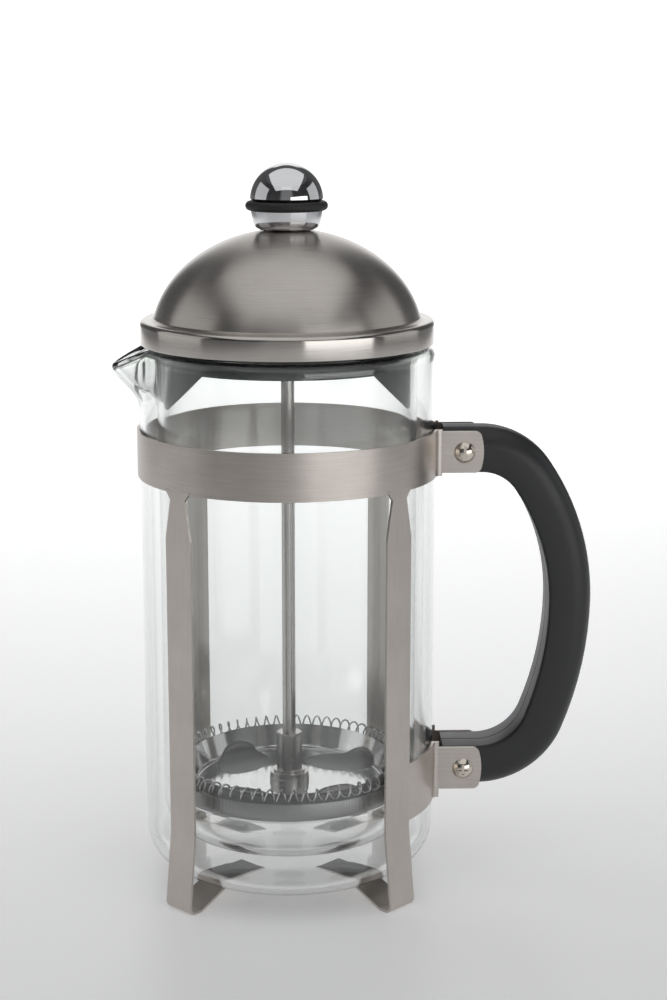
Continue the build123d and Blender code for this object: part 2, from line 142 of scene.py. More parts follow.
# Painted light: the board glows as emission, more towards the back and less off to the sides, in place of light
# falling on it.
board_aside = calculate(board_tree, "ABSOLUTE", board_axes.outputs["X"])
board_far = calculate(board_tree, "MULTIPLY_ADD", board_axes.outputs["X"], -0.12, board_axes.outputs["Y"])
board_emission_side_fade = add_node(board_tree, "ShaderNodeMapRange", From_Min=0.62, From_Max=0.95, To_Min=1.0, To_Max=0.05)
board_tree.links.new(board_aside, board_emission_side_fade.inputs["Value"])
board_emission_share = add_node(board_tree, "ShaderNodeMapRange", From_Min=-0.3, From_Max=1.7)
board_tree.links.new(board_far, board_emission_share.inputs["Value"])
board_painted_glow_ramp = add_node(board_tree, "ShaderNodeValToRGB")
board_painted_glow_stops = ((0.0, 0.16), (0.1, 0.22), (0.16, 0.3), (0.25, 0.4), (0.5, 0.62), (1.0, 1.0))
for stop, (stop_place, glow) in enumerate(board_painted_glow_stops):
    ramp_stops = board_painted_glow_ramp.color_ramp.elements
    ramp_stop = ramp_stops[stop] if stop < 1 else ramp_stops.new(stop_place)
    ramp_stop.position = stop_place
    ramp_stop.color = (glow, glow, glow, 1)
board_tree.links.new(board_emission_share.outputs["Result"], board_painted_glow_ramp.inputs["Fac"])
# Painted shade: the wall above the floor is dark grey, standing in for the unlit room round the set; the floor stays
# pale.
board_wall_shade_share = add_node(board_tree, "ShaderNodeMapRange", From_Min=0.02, From_Max=0.5)
board_tree.links.new(board_axes.outputs["Z"], board_wall_shade_share.inputs["Value"])
board_floor_and_wall_shade = add_node(
    board_tree, "ShaderNodeMixRGB", Color1=(0.76, 0.765, 0.775, 1), Color2=(0.12, 0.12, 0.122, 1)
)
board_tree.links.new(board_wall_shade_share.outputs["Result"], board_floor_and_wall_shade.inputs["Fac"])
board_tree.links.new(board_floor_and_wall_shade.outputs["Color"], board_shader.inputs["Base Color"])
board_shader.inputs["Roughness"].default_value = 0.38
board_shader.inputs["Specular IOR Level"].default_value = 0.35
# The painted glow goes in as emission on top of the board's own colour.
board_tree.links.new(board_emission_side_fade.outputs["Result"], board_shader.inputs["Emission Strength"])
board_tree.links.new(board_painted_glow_ramp.outputs["Color"], board_shader.inputs["Emission Color"])
backdrop.data.materials.append(board)

room = bpy.data.worlds.new("studio")
scene.world = room
room.use_nodes = True
room.node_tree.nodes["Background"].inputs["Color"].default_value = (0.1, 0.1, 0.104, 1)
room.node_tree.nodes["Background"].inputs["Strength"].default_value = 1.0

# name, turn from the front towards the right in degrees, distance, height, width, depth, brightness
soft_boxes = (
    ("top_box", 0, 0.3, 1.35, 1.9, 2.0, 0.68),
    ("window_box", 40, 1.25, 0.27, 1.3, 0.5, 1.9),
    ("right_box", 98, 1.25, 0.5, 1.0, 0.9, 0.5),
    ("left_box", -92, 1.25, 0.5, 1.2, 1.0, 0.5),
)
aim = Vector((0, 0, 0.13))
for box_name, box_turn, box_far, box_up, box_width, box_depth, box_glow in soft_boxes:
    box_place = (box_far * sin(radians(box_turn)), -box_far * cos(radians(box_turn)), box_up)
    bpy.ops.object.light_add(type="AREA", location=box_place)
    lamp = bpy.context.object
    lamp.name = box_name
    lamp.data.shape = "RECTANGLE"
    lamp.data.size = box_width
    lamp.data.size_y = box_depth
    lamp.data.energy = box_glow * pi * box_width * box_depth
    lamp.rotation_euler = (aim - lamp.location).to_track_quat("-Z", "Y").to_euler()
    lamp.visible_camera = False

camera_tilt = 0.213
camera_turn = 0.028
bpy.ops.object.camera_add(
    location=(-3.5 * mm, -734.2 * mm, 305.7 * mm), rotation=(pi / 2 - camera_tilt, 0, -camera_turn)
)
camera = bpy.context.object
camera.data.lens = 71.96
camera.data.sensor_width = 36
camera.data.clip_start = 0.01
camera.data.clip_end = 50
scene.camera = camera

# ---- glass beaker -----------------------------------------------------------------------
# Two blown borosilicate walls fused at the rim with air between them, so the piece is one closed
# skin with a closed hollow in it. The spout is pulled out of the hot rim.
glass_low, glass_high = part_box("glass_outer_wall")
bore_low, bore_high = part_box("glass_inner_wall")
glass_r = glass_high.y
glass_base = glass_low.z
glass_rim = bore_high.z
glass_wall = 2.2 * mm
glass_bore_r = 46.0 * mm
glass_floor = bore_low.z + glass_wall
glass_heel_r = 16.0 * mm
glass_cup_r = 12.0 * mm
rim_round = (glass_r - glass_bore_r) / 2


spout_rows = 18
spout_foot = 183.0 * mm
skin = [(0, glass_base)]
skin += arc(glass_r - glass_heel_r, glass_base + glass_heel_r, glass_heel_r, -90, 0, 16)
skin += straight(glass_r, glass_base + glass_heel_r, spout_foot, 6)
skin += straight(glass_r, spout_foot, glass_rim - rim_round, spout_rows)
skin += arc(glass_bore_r + rim_round, glass_rim - rim_round, rim_round, 0, 180, 14)
skin += straight(glass_bore_r, glass_rim - rim_round, spout_foot, spout_rows)
skin += straight(glass_bore_r, spout_foot, glass_floor + glass_cup_r, 6)
skin += arc(glass_bore_r - glass_cup_r, glass_floor + glass_cup_r, glass_cup_r, 0, -90, 14)
skin += [(0, glass_floor)]

hollow_out_r = glass_r - glass_wall
hollow_in_r = glass_bore_r + glass_wall
hollow_top = glass_rim - glass_wall
hollow_round = (hollow_out_r - hollow_in_r) / 2
hollow_heel_r = glass_heel_r - glass_wall
hollow_cup_r = glass_cup_r + glass_wall
hollow_floor = glass_floor - glass_wall
hollow_base = glass_base + glass_wall
hollow = [(0, hollow_base)]
hollow += arc(hollow_out_r - hollow_heel_r, hollow_base + hollow_heel_r, hollow_heel_r, -90, 0, 16)
hollow += straight(hollow_out_r, hollow_base + hollow_heel_r, spout_foot, 6)
hollow += straight(hollow_out_r, spout_foot, hollow_top - hollow_round, spout_rows)
hollow += arc(hollow_in_r + hollow_round, hollow_top - hollow_round, hollow_round, 0, 180, 8)
hollow += straight(hollow_in_r, hollow_top - hollow_round, spout_foot, spout_rows)
hollow += straight(hollow_in_r, spout_foot, hollow_floor + hollow_cup_r, 6)
hollow += arc(hollow_in_r - hollow_cup_r, hollow_floor + hollow_cup_r, hollow_cup_r, 0, -90, 14)
hollow += [(0, hollow_floor)]

beaker = lathe("glass_beaker", skin)
beaker_hollow = lathe("glass_hollow", hollow, inward=True)
bpy.ops.object.select_all(action="DESELECT")
beaker_hollow.select_set(True)
beaker.select_set(True)
bpy.context.view_layer.objects.active = beaker
bpy.ops.object.join()

spout_reach = 10.4 * mm
spout_bore_extra = 5.2 * mm
spout_drop = 7.0 * mm
spout_half_angle = radians(23)
for vertex in beaker.data.vertices:
    x, y, z = vertex.co
    r = sqrt(x * x + y * y)
    aside = abs(atan2(y, -x)) / spout_half_angle
    if z < spout_foot or aside > 1 or r < glass_bore_r - mm:
        continue
    rise = (z - spout_foot) / (glass_rim - spout_foot)
    swell = rise * rise * (3 - 2 * rise)
    beak = (0.5 + 0.5 * cos(pi * aside)) ** 1.5
    wall = (glass_r - r) / (glass_r - glass_bore_r)
    out = beak * swell * (spout_reach + wall * spout_bore_extra)
    vertex.co = (x * (r + out) / r, y * (r + out) / r, z - beak * rise * spout_drop)


def feed(tree, source, shader, socket):
    """Link a changing value into the surface shader by socket name."""
    tree.links.new(source, shader.inputs[socket])


clear, clear_tree, clear_shader = new_material("borosilicate")
clear_place = add_node(clear_tree, "ShaderNodeTexCoord")
clear_smears = add_node(clear_tree, "ShaderNodeTexNoise", Scale=38.0, Detail=4.0, Roughness=0.6)
clear_tree.links.new(clear_place.outputs["Object"], clear_smears.inputs["Vector"])
clear_rough = add_node(clear_tree, "ShaderNodeMapRange", From_Min=0.45, From_Max=0.8, To_Min=0.0, To_Max=0.03)
clear_tree.links.new(clear_smears.outputs["Fac"], clear_rough.inputs["Value"])
feed(clear_tree, clear_rough.outputs["Result"], clear_shader, "Roughness")
clear_axes = add_node(clear_tree, "ShaderNodeSeparateXYZ")
clear_tree.links.new(clear_place.outputs["Object"], clear_axes.inputs[0])
clear_top = add_node(clear_tree, "ShaderNodeMapRange", From_Min=0.196, From_Max=0.206, To_Min=0.0, To_Max=1.0)
clear_tree.links.new(clear_axes.outputs["Z"], clear_top.inputs["Value"])
clear_tint = add_node(clear_tree, "ShaderNodeMix", data_type="RGBA")
for socket in clear_tint.inputs:
    if socket.type == "RGBA" and socket.name == "A":
        socket.default_value = (0.992, 0.998, 0.995, 1)
    if socket.type == "RGBA" and socket.name == "B":
        socket.default_value = (0.965, 0.99, 0.965, 1)
clear_tree.links.new(clear_top.outputs["Result"], clear_tint.inputs[0])
clear_colour = next(socket for socket in clear_tint.outputs if socket.type == "RGBA")
feed(clear_tree, clear_colour, clear_shader, "Base Color")
clear_waves = add_node(clear_tree, "ShaderNodeTexNoise", Scale=9.0, Detail=1.0)
clear_tree.links.new(clear_place.outputs["Object"], clear_waves.inputs["Vector"])
clear_bump = add_node(clear_tree, "ShaderNodeBump", Strength=0.12, Distance=0.4 * mm)
clear_tree.links.new(clear_waves.outputs["Fac"], clear_bump.inputs["Height"])
feed(clear_tree, clear_bump.outputs["Normal"], clear_shader, "Normal")
clear_shader.inputs["Transmission Weight"].default_value = 1.0
clear_shader.inputs["IOR"].default_value = 1.47
beaker.data.materials.append(clear)
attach(beaker, "pot")
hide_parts("glass_outer_wall", "glass_inner_wall")

# ---- frame ------------------------------------------------------------------------------
# One blank of stainless sheet, stamped and bent: band, four legs with their feet, lower strap and
# ears. It is brushed along each strap, so the lines lie level on the band and upright on the legs.
leg_half_width = 6.4 * mm
band_bottom = 157.6 * mm


def make_brushing():
    """Node group: fine scratch lines and faint clouds, as a colour, a roughness and a height."""
    group = bpy.data.node_groups.new("brushing", "ShaderNodeTree")
    face = group.interface
    face.new_socket("Lines", in_out="INPUT", socket_type="NodeSocketVector")
    face.new_socket("Place", in_out="INPUT", socket_type="NodeSocketVector")
    face.new_socket("Dark", in_out="INPUT", socket_type="NodeSocketColor")
    face.new_socket("Light", in_out="INPUT", socket_type="NodeSocketColor")
    face.new_socket("Polish", in_out="INPUT", socket_type="NodeSocketFloat")
    face.new_socket("Unevenness", in_out="INPUT", socket_type="NodeSocketFloat")
    face.new_socket("Colour", in_out="OUTPUT", socket_type="NodeSocketColor")
    face.new_socket("Roughness", in_out="OUTPUT", socket_type="NodeSocketFloat")
    face.new_socket("Height", in_out="OUTPUT", socket_type="NodeSocketFloat")
    inside = group.nodes.new("NodeGroupInput")
    outside = group.nodes.new("NodeGroupOutput")
    scratches = add_node(group, "ShaderNodeTexNoise", Scale=1.0, Detail=5.0, Roughness=0.65)
    group.links.new(inside.outputs["Lines"], scratches.inputs["Vector"])
    clouds = add_node(group, "ShaderNodeTexNoise", Scale=55.0, Detail=3.0)
    group.links.new(inside.outputs["Place"], clouds.inputs["Vector"])
    cloud_share = calculate(group, "MULTIPLY", clouds.outputs["Fac"], 0.35)
    both = calculate(group, "MULTIPLY_ADD", scratches.outputs["Fac"], 0.65, cloud_share)
    spread = add_node(group, "ShaderNodeMapRange", From_Min=0.3, From_Max=0.7)
    group.links.new(both, spread.inputs["Value"])
    tone = add_node(group, "ShaderNodeMixRGB")
    group.links.new(spread.outputs["Result"], tone.inputs["Fac"])
    group.links.new(inside.outputs["Dark"], tone.inputs["Color1"])
    group.links.new(inside.outputs["Light"], tone.inputs["Color2"])
    group.links.new(tone.outputs["Color"], outside.inputs["Colour"])
    centred = calculate(group, "SUBTRACT", spread.outputs["Result"], 0.5)
    varied = calculate(group, "MULTIPLY_ADD", centred, inside.outputs["Unevenness"], inside.outputs["Polish"])
    group.links.new(varied, outside.inputs["Roughness"])
    group.links.new(scratches.outputs["Fac"], outside.inputs["Height"])
    return group


brushing = make_brushing()


def finish_metal(tree, shader, lines, place, dark, light, polish, unevenness, depth):
    """Put the brushing group in a metal and connect it to the surface shader."""
    lines_node = tree.nodes.new("ShaderNodeGroup")
    lines_node.node_tree = brushing
    tree.links.new(lines, lines_node.inputs["Lines"])
    tree.links.new(place, lines_node.inputs["Place"])
    lines_node.inputs["Dark"].default_value = (*dark, 1)
    lines_node.inputs["Light"].default_value = (*light, 1)
    lines_node.inputs["Polish"].default_value = polish
    lines_node.inputs["Unevenness"].default_value = unevenness
    feed(tree, lines_node.outputs["Colour"], shader, "Base Color")
    feed(tree, lines_node.outputs["Roughness"], shader, "Roughness")
    scratch_bump = add_node(tree, "ShaderNodeBump", Strength=depth, Distance=0.02 * mm)
    tree.links.new(lines_node.outputs["Height"], scratch_bump.inputs["Height"])
    feed(tree, scratch_bump.outputs["Normal"], shader, "Normal")
    shader.inputs["Metallic"].default_value = 1.0


def stretch_highlights(tree, shader, amount):
    """Blur reflections across level tool lines, as fine rings round the beaker's axis do."""
    around = tree.nodes.new("ShaderNodeTangent")
    around.direction_type = "RADIAL"
    around.axis = "Z"
    tree.links.new(around.outputs["Tangent"], shader.inputs["Tangent"])
    shader.inputs["Anisotropic"].default_value = amount
    shader.inputs["Anisotropic Rotation"].default_value = 0.25


def dress(node, made):
    """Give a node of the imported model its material."""
    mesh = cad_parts[node].data
    mesh.materials.clear()
    mesh.materials.append(made)


strap_steel, strap_tree, strap_shader = new_material("strap_steel")
strap_place = add_node(strap_tree, "ShaderNodeTexCoord").outputs["Object"]
strap_axes = add_node(strap_tree, "ShaderNodeSeparateXYZ")
strap_tree.links.new(strap_place, strap_axes.inputs[0])
strap_x = calculate(strap_tree, "ABSOLUTE", strap_axes.outputs["X"])
strap_y = calculate(strap_tree, "ABSOLUTE", strap_axes.outputs["Y"])
across_leg = calculate(strap_tree, "SUBTRACT", strap_x, strap_y)
off_centre = calculate(strap_tree, "ABSOLUTE", across_leg)
on_leg = calculate(strap_tree, "LESS_THAN", off_centre, leg_half_width * sqrt(2))
below_band = calculate(strap_tree, "LESS_THAN", strap_axes.outputs["Z"], band_bottom)
leg_mask = calculate(strap_tree, "MULTIPLY", on_leg, below_band)
line_fine = 5200.0
line_long = 60.0
level_lines = add_node(strap_tree, "ShaderNodeCombineXYZ")
strap_tree.links.new(calculate(strap_tree, "MULTIPLY", strap_axes.outputs["X"], line_long), level_lines.inputs["X"])
strap_tree.links.new(calculate(strap_tree, "MULTIPLY", strap_axes.outputs["Y"], line_long), level_lines.inputs["Y"])
strap_tree.links.new(calculate(strap_tree, "MULTIPLY", strap_axes.outputs["Z"], line_fine), level_lines.inputs["Z"])
upright_lines = add_node(strap_tree, "ShaderNodeCombineXYZ")
strap_tree.links.new(calculate(strap_tree, "MULTIPLY", across_leg, line_fine), upright_lines.inputs["X"])
strap_tree.links.new(calculate(strap_tree, "MULTIPLY", strap_axes.outputs["Z"], line_long), upright_lines.inputs["Z"])
strap_lines = add_node(strap_tree, "ShaderNodeMix", data_type="VECTOR")
strap_tree.links.new(leg_mask, strap_lines.inputs[0])
lines_in = [socket for socket in strap_lines.inputs if socket.type == "VECTOR"][-2:]
strap_tree.links.new(level_lines.outputs[0], lines_in[0])
strap_tree.links.new(upright_lines.outputs[0], lines_in[1])
lines_out = next(socket for socket in strap_lines.outputs if socket.type == "VECTOR")
finish_metal(
    strap_tree, strap_shader, lines_out, strap_place, (0.45, 0.41, 0.38), (0.64, 0.595, 0.555), 0.33, 0.14, 0.25
)
dress("frame", strap_steel)

# ---- handle -----------------------------------------------------------------------------
# Two moulded halves of heat-proof plastic that meet at a fine groove down the middle. The inner
# face is flat and the outer face is rounded for the palm.
grip_x = 72.0 * mm
grip_z = 167.2 * mm
grip_arcs = [(23.5 * mm, 55.5), (85.0 * mm, 34.7), (130.0 * mm, 21.5), (27.0 * mm, 68.3)]
grip_half_depth = 8.3 * mm
grip_half_width = 9.5 * mm
palm_fillet = 7.5 * mm
finger_fillet = 1.2 * mm
groove = 0.3 * mm
upper_tang_x = 57.8 * mm
lower_tang_x = 58.6 * mm


def grip_outline(side):
    """Half of the grip's section as (across, up) points; side is -1 in front and 1 behind."""
    palm = arc(grip_half_width - palm_fillet, grip_half_depth - palm_fillet, palm_fillet, 90, 0, 10)
    finger = arc(grip_half_width - finger_fillet, finger_fillet - grip_half_depth, finger_fillet, 0, -90, 5)
    points = [(0, grip_half_depth - groove), (groove, grip_half_depth)] + palm + finger
    points += [(groove, -grip_half_depth), (0, groove - grip_half_depth)]
    return [(side * across, up) for across, up in points]


def close_end(piece, at_x, low, high):
    """Fill the open loop of a grip half that lies in one plane across X."""
    for vertex in piece.data.vertices:
        vertex.select = abs(vertex.co.x - at_x) < 0.01 * mm and low < vertex.co.z < high
    bpy.ops.object.mode_set(mode="EDIT")
    bpy.ops.mesh.select_mode(type="VERT")
    bpy.ops.mesh.edge_face_add()
    bpy.ops.mesh.select_all(action="DESELECT")
    bpy.ops.object.mode_set(mode="OBJECT")


def grip_half(name, side):
    """One handle half: its section drawn at the upper tang, run out and spun round the grip's arcs."""
    outline = grip_outline(side)
    bpy.ops.object.select_all(action="DESELECT")
    bpy.ops.mesh.primitive_plane_add(size=mm)
    half = bpy.context.object
    half.name = name
    bpy.ops.object.mode_set(mode="EDIT")
    bpy.ops.mesh.select_mode(type="VERT")
    bpy.ops.mesh.merge(type="CENTER")
    bpy.ops.transform.translate(value=(upper_tang_x, outline[0][0], grip_z + outline[0][1]))
    for (y0, z0), (y1, z1) in zip(outline, outline[1:]):
        bpy.ops.mesh.extrude_region_move(TRANSFORM_OT_translate={"value": (0, y1 - y0, z1 - z0)})
    bpy.ops.mesh.select_all(action="SELECT")
    bpy.ops.mesh.edge_face_add()
    bpy.ops.mesh.delete(type="ONLY_FACE")
    bpy.ops.mesh.select_all(action="SELECT")
    run_out = {"value": (grip_x - upper_tang_x, 0, 0)}
    bpy.ops.mesh.extrude_region_move(TRANSFORM_OT_translate=run_out)
    at_x, at_z, heading = grip_x, grip_z, 0.0
    for radius, turn in grip_arcs:
        centre_x = at_x - radius * sin(heading)
        centre_z = at_z - radius * cos(heading)
        bpy.ops.mesh.spin(
            steps=max(8, int(turn / 2.5)), angle=-radians(turn), center=(centre_x, 0, centre_z), axis=(0, 1, 0)
        )
        heading += radians(turn)
        at_x = centre_x + radius * sin(heading)
        at_z = centre_z + radius * cos(heading)
    run_in = {"value": (lower_tang_x - at_x, 0, 0)}
    bpy.ops.mesh.extrude_region_move(TRANSFORM_OT_translate=run_in)
    bpy.ops.mesh.select_all(action="SELECT")
    bpy.ops.mesh.remove_doubles(threshold=0.002 * mm)
    bpy.ops.object.mode_set(mode="OBJECT")
    close_end(half, upper_tang_x, grip_z - 2 * grip_half_depth, grip_z + 2 * grip_half_depth)
    close_end(half, lower_tang_x, at_z - 2 * grip_half_depth, at_z + 2 * grip_half_depth)
    bpy.ops.object.mode_set(mode="EDIT")
    bpy.ops.mesh.select_all(action="SELECT")
    bpy.ops.mesh.normals_make_consistent(inside=False)
    bpy.ops.object.mode_set(mode="OBJECT")
    bpy.ops.object.shade_smooth_by_angle(angle=radians(35))
    return half


grip_plastic, grip_tree, grip_shader = new_material("grip_plastic")
grip_place = add_node(grip_tree, "ShaderNodeTexCoord").outputs["Object"]
grip_texture = add_node(grip_tree, "ShaderNodeTexNoise", Scale=2600.0, Detail=2.0)
grip_tree.links.new(grip_place, grip_texture.inputs["Vector"])
grip_wear = add_node(grip_tree, "ShaderNodeTexNoise", Scale=42.0, Detail=4.0)
grip_tree.links.new(grip_place, grip_wear.inputs["Vector"])
grip_tone = add_node(grip_tree, "ShaderNodeMixRGB", Color1=(0.014, 0.0145, 0.016, 1), Color2=(0.021, 0.0215, 0.023, 1))
grip_tree.links.new(grip_wear.outputs["Fac"], grip_tone.inputs["Fac"])
feed(grip_tree, grip_tone.outputs["Color"], grip_shader, "Base Color")
grip_rough = add_node(grip_tree, "ShaderNodeMapRange", From_Min=0.3, From_Max=0.7, To_Min=0.34, To_Max=0.46)
grip_tree.links.new(grip_wear.outputs["Fac"], grip_rough.inputs["Value"])
feed(grip_tree, grip_rough.outputs["Result"], grip_shader, "Roughness")
grip_bump = add_node(grip_tree, "ShaderNodeBump", Strength=0.3, Distance=0.03 * mm)
grip_tree.links.new(grip_texture.outputs["Fac"], grip_bump.inputs["Height"])
feed(grip_tree, grip_bump.outputs["Normal"], grip_shader, "Normal")

for half_name, side in (("handle_front_half", -1), ("handle_rear_half", 1)):
    half = grip_half(half_name.replace("half", "shell"), side)
    half.data.materials.append(grip_plastic)
    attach(half, "pot")
    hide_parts(half_name)

# ---- turned and spun metal ----------------------------------------------------------------
# Screws, rod, hub and lid are turned or spun, so their fine lines run round an axis. Each finish
# has its own colour, polish and depth of line.


def turned_metal(name, dark, light, polish, unevenness, depth, fine, stretch=0.0):
    """A metal whose tool lines run round the beaker's axis, level on walls and in rings on flats."""
    made, tree, shader = new_material(name)
    place = add_node(tree, "ShaderNodeTexCoord").outputs["Object"]
    axes = add_node(tree, "ShaderNodeSeparateXYZ")
    tree.links.new(place, axes.inputs[0])
    squares = calculate(tree, "MULTIPLY", axes.outputs["X"], axes.outputs["X"])
    squares = calculate(tree, "MULTIPLY_ADD", axes.outputs["Y"], axes.outputs["Y"], squares)
    radius = calculate(tree, "SQRT", squares)
    rings = calculate(tree, "SUBTRACT", axes.outputs["Z"], radius)
    lines = add_node(tree, "ShaderNodeCombineXYZ")
    tree.links.new(calculate(tree, "MULTIPLY", axes.outputs["X"], line_long), lines.inputs["X"])
    tree.links.new(calculate(tree, "MULTIPLY", axes.outputs["Y"], line_long), lines.inputs["Y"])
    tree.links.new(calculate(tree, "MULTIPLY", rings, fine), lines.inputs["Z"])
    finish_metal(tree, shader, lines.outputs[0], place, dark, light, polish, unevenness, depth)
    if stretch:
        stretch_highlights(tree, shader, stretch)
    return made


nickel = turned_metal("polished_nickel", (0.62, 0.56, 0.48), (0.74, 0.69, 0.62), 0.14, 0.08, 0.1, 4000.0)
for node in ("upper_screw", "lower_screw", "upper_barrel_nut", "lower_barrel_nut"):
    dress(node, nickel)

rod_steel = turned_metal("rod_steel", (0.46, 0.44, 0.42), (0.64, 0.62, 0.6), 0.24, 0.12, 0.2, 4200.0)
for node in ("plunger_rod", "rod_hub", "hub_washer", "filter_nut"):
    dress(node, rod_steel)

plate_steel = turned_metal("plate_steel", (0.66, 0.66, 0.66), (0.8, 0.8, 0.8), 0.1, 0.08, 0.1, 2600.0)
for node in ("spring_plate", "cross_plate"):
    dress(node, plate_steel)

clip_steel = turned_metal("clip_steel", (0.45, 0.45, 0.45), (0.6, 0.6, 0.6), 0.3, 0.1, 0.2, 3000.0)
dress("bushing_clip", clip_steel)

insert_brass = turned_metal("insert_brass", (0.6, 0.44, 0.2), (0.78, 0.6, 0.3), 0.25, 0.12, 0.2, 3500.0)
dress("knob_insert", insert_brass)

# ---- lid --------------------------------------------------------------------------------
# A stainless disc spun into a dome, with a flat ledge and a short skirt. The spinning leaves level
# lines all round. The edge of the skirt is rolled in a little.
dome_low, dome_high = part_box("lid_dome")
skirt_r = dome_high.y
skirt_z = dome_low.z
sheet = 0.8 * mm
ledge_z = 215.6 * mm
dome_a = 50.2 * mm
dome_b = 40.2 * mm
dome_z = 208.2 * mm
dome_hole_r = 5.46 * mm
skirt_bend = 1.8 * mm
dome_root_r = dome_a - 0.4 * mm
root_fillet = 0.7 * mm
dome_steps = 44


def dome_side(inset, backward):
    """Points up one face of the dome's sheet, closer together where it turns over at the root."""
    a = dome_a - inset
    b = dome_b - inset
    start = (ledge_z - inset + root_fillet - dome_z) / b
    start_angle = atan2(start, sqrt(1 - start * start))
    end_angle = atan2(sqrt(1 - (dome_hole_r / a) ** 2), dome_hole_r / a)
    angles = [start_angle + (end_angle - start_angle) * step / dome_steps for step in range(dome_steps + 1)]
    points = [(a * cos(angle), dome_z + b * sin(angle)) for angle in angles]
    return points[::-1] if backward else points


lid = [(skirt_r - sheet, skirt_z + 0.3 * mm)]
lid += arc(skirt_r - sheet / 2, skirt_z + sheet / 2, sheet / 2, 200, 360, 6)
lid += arc(skirt_r - skirt_bend, ledge_z - skirt_bend, skirt_bend, 0, 90, 8)
lid += [(dome_root_r + 1.4 * mm, ledge_z), (dome_root_r + 0.5 * mm, ledge_z + 0.15 * mm)]
lid += dome_side(0, False)
lid += dome_side(sheet, True)
lid += [(dome_root_r - sheet + 0.5 * mm, ledge_z - sheet)]
lid += arc(skirt_r - skirt_bend, ledge_z - skirt_bend, skirt_bend - sheet, 90, 0, 6)
lid += [lid[0]]
dome = lathe("lid_dome_shell", lid, steps=224)
spun_steel = turned_metal("spun_steel", (0.45, 0.42, 0.395), (0.62, 0.59, 0.555), 0.3, 0.1, 0.2, 3600.0, 0.8)
spun_tree = spun_steel.node_tree
spun_lines = next(node for node in spun_tree.nodes if node.type == "GROUP")
spun_axes = next(node for node in spun_tree.nodes if node.type == "SEPXYZ")
skirt_polish = add_node(spun_tree, "ShaderNodeMapRange", From_Min=0.2145, From_Max=0.2165, To_Min=0.16, To_Max=0.31)
spun_tree.links.new(spun_axes.outputs["Z"], skirt_polish.inputs["Value"])
spun_tree.links.new(skirt_polish.outputs["Result"], spun_lines.inputs["Polish"])
dome.data.materials.append(spun_steel)
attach(dome, "lid")
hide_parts("lid_dome")

# ---- strainer and bushing -----------------------------------------------------------------
# Injection moulded in dark grey plastic. The strainer's front wall holds back the grounds and its
# flap at the spout has drain slots.
strainer_plastic, strainer_tree, strainer_shader = new_material("strainer_plastic")
strainer_place = add_node(strainer_tree, "ShaderNodeTexCoord").outputs["Object"]
strainer_grain = add_node(strainer_tree, "ShaderNodeTexNoise", Scale=1500.0, Detail=3.0)
strainer_tree.links.new(strainer_place, strainer_grain.inputs["Vector"])
strainer_flow = add_node(strainer_tree, "ShaderNodeTexNoise", Scale=60.0, Detail=2.0)
strainer_tree.links.new(strainer_place, strainer_flow.inputs["Vector"])
strainer_tone = add_node(
    strainer_tree, "ShaderNodeMixRGB", Color1=(0.03, 0.031, 0.034, 1), Color2=(0.045, 0.046, 0.049, 1)
)
strainer_tree.links.new(strainer_flow.outputs["Fac"], strainer_tone.inputs["Fac"])
feed(strainer_tree, strainer_tone.outputs["Color"], strainer_shader, "Base Color")
strainer_rough = add_node(strainer_tree, "ShaderNodeMapRange", To_Min=0.36, To_Max=0.5)
strainer_tree.links.new(strainer_flow.outputs["Fac"], strainer_rough.inputs["Value"])
feed(strainer_tree, strainer_rough.outputs["Result"], strainer_shader, "Roughness")
strainer_bump = add_node(strainer_tree, "ShaderNodeBump", Strength=0.25, Distance=0.03 * mm)
strainer_tree.links.new(strainer_grain.outputs["Fac"], strainer_bump.inputs["Height"])
feed(strainer_tree, strainer_bump.outputs["Normal"], strainer_shader, "Normal")
for node in ("lid_strainer", "lid_bushing"):
    dress(node, strainer_plastic)

# ---- knob -------------------------------------------------------------------------------
# A mirror-polished ball on a waisted foot, with a groove turned round it for a rubber ring.
knob_low, knob_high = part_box("knob")
ball_r = (knob_high.x - knob_low.x) / 2
ball_z = knob_high.z - ball_r
ring_low, ring_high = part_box("knob_ring")
cord_r = (ring_high.z - ring_low.z) / 2
ring_z = (ring_high.z + ring_low.z) / 2
ring_r = (ring_high.x - ring_low.x) / 2 - cord_r
foot_z = knob_low.z
foot_r = 10.4 * mm
recess_r = 8.6 * mm
recess_z = 250.4 * mm
groove_r = ring_r - cord_r * 0.75

knob_line = [(0, recess_z), (recess_r, recess_z), (recess_r, foot_z), (foot_r - 0.3 * mm, foot_z)]
knob_line += [(foot_r, foot_z + 0.2 * mm), (11.5 * mm, 248.9 * mm), (12.15 * mm, 249.8 * mm)]
knob_line += [(12.65 * mm, 251.2 * mm), (13.05 * mm, 253.0 * mm), (13.3 * mm, 254.9 * mm)]
knob_line += [(groove_r, ring_z - cord_r * 0.8), (groove_r, ring_z + cord_r * 0.8)]
ball_start = 3
knob_line += arc(0, ball_z, ball_r, ball_start, 89.5, 30)
knob_line += [(0, ball_z + ball_r)]
ball = lathe("knob_ball", knob_line, steps=128, sharp=40)
mirror = turned_metal("mirror_chrome", (0.7, 0.705, 0.715), (0.76, 0.765, 0.775), 0.045, 0.03, 0.02, 1500.0)
ball.data.materials.append(mirror)
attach(ball, "plunger")
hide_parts("knob")

